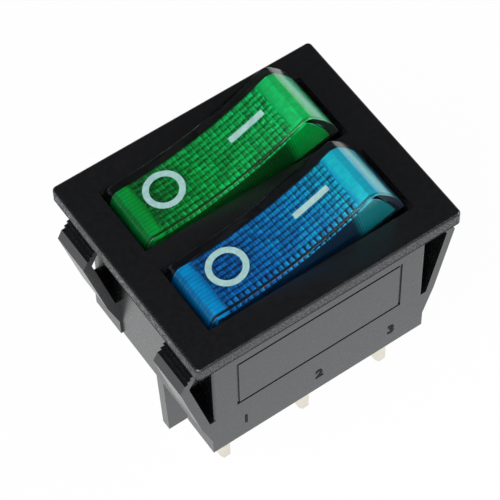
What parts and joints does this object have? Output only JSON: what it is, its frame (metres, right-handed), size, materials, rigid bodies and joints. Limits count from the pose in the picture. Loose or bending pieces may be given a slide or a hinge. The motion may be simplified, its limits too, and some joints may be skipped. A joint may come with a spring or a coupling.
{
  "type": "twin illuminated rocker switch",
  "caption": "Snap-in panel rocker switch with green and blue translucent lit rockers side by side in a black bezel, stepped snap arms, blade terminals and a barrier rib.",
  "frame": {"origin": "centre of the bezel's underside, in the plane that seats on the panel's front", "axes": "+Z points out of the panel towards the user, X runs along the rockers with the I ends at +X, Y runs across the two poles with the green rocker at +Y"},
  "size_m": [0.0328, 0.0254, 0.0385],
  "materials": {
    "housing_black": "fine-grained moulded nylon, satin sides",
    "green_lens": "clear green polycarbonate, polished top, prisms beneath",
    "blue_lens": "clear blue polycarbonate, polished top, prisms beneath",
    "carrier_black": "black nylon",
    "plunger_white": "natural acetal",
    "spring_steel": "bright spring wire",
    "lamp_glass": "clear glass envelope",
    "resistor_body": "lacquered body",
    "lever_copper": "stamped copper alloy",
    "contact_silver": "silver alloy rivet",
    "terminal_tinned": "tinned brass"
  },
  "bodies": {
    "base": {"housing": "housing_black", "green_supply_terminal": "terminal_tinned", "green_load_terminal": "terminal_tinned", "green_lamp_terminal": "terminal_tinned", "green_fixed_contact": "contact_silver", "green_lamp_spring": "spring_steel", "blue_supply_terminal": "terminal_tinned", "blue_load_terminal": "terminal_tinned", "blue_lamp_terminal": "terminal_tinned", "blue_fixed_contact": "contact_silver", "blue_lamp_spring": "spring_steel"},
    "green_rocker": {"green_rocker_lens": "green_lens", "green_rocker_carrier": "carrier_black", "green_neon_lamp": "lamp_glass", "green_lamp_resistor": "resistor_body", "green_plunger_spring": "spring_steel"},
    "green_plunger_body": {"green_plunger": "plunger_white"},
    "green_lever": {"green_contact_lever": "lever_copper", "green_moving_contact": "contact_silver"},
    "blue_rocker": {"blue_rocker_lens": "blue_lens", "blue_rocker_carrier": "carrier_black", "blue_neon_lamp": "lamp_glass", "blue_lamp_resistor": "resistor_body", "blue_plunger_spring": "spring_steel"},
    "blue_plunger_body": {"blue_plunger": "plunger_white"},
    "blue_lever": {"blue_contact_lever": "lever_copper", "blue_moving_contact": "contact_silver"}
  },
  "joints": [
    {"name": "green_rocker_tilt", "type": "hinge", "parent": "base", "child": "green_rocker", "pos_m": [0, 0.0054, -0.0018], "axis": [0, 1, 0], "range_deg": [0, 31], "deforming": ["green_lamp_spring"]},
    {"name": "green_lever_tilt", "type": "hinge", "parent": "base", "child": "green_lever", "pos_m": [0, 0.0054, -0.01526], "axis": [0, 1, 0], "range_deg": [-15.5, 0]},
    {"name": "green_plunger_slide", "type": "slide", "parent": "green_rocker", "child": "green_plunger_body", "axis": [-0.2672, 0, 0.9636], "range_m": [0, 0.0009], "stiffness_N_per_m": 300, "springref_m": -0.003, "deforming": ["green_plunger_spring"]},
    {"name": "blue_rocker_tilt", "type": "hinge", "parent": "base", "child": "blue_rocker", "pos_m": [0, -0.0054, -0.0018], "axis": [0, 1, 0], "range_deg": [0, 31], "deforming": ["blue_lamp_spring"]},
    {"name": "blue_lever_tilt", "type": "hinge", "parent": "base", "child": "blue_lever", "pos_m": [0, -0.0054, -0.01526], "axis": [0, 1, 0], "range_deg": [-15.5, 0]},
    {"name": "blue_plunger_slide", "type": "slide", "parent": "blue_rocker", "child": "blue_plunger_body", "axis": [-0.2672, 0, 0.9636], "range_m": [0, 0.0009], "stiffness_N_per_m": 300, "springref_m": -0.003, "deforming": ["blue_plunger_spring"]}
  ],
  "couplings": [
    {"joint": "green_lever_tilt", "follows": "green_rocker_tilt", "ratio": -0.5},
    {"joint": "blue_lever_tilt", "follows": "blue_rocker_tilt", "ratio": -0.5}
  ]
}
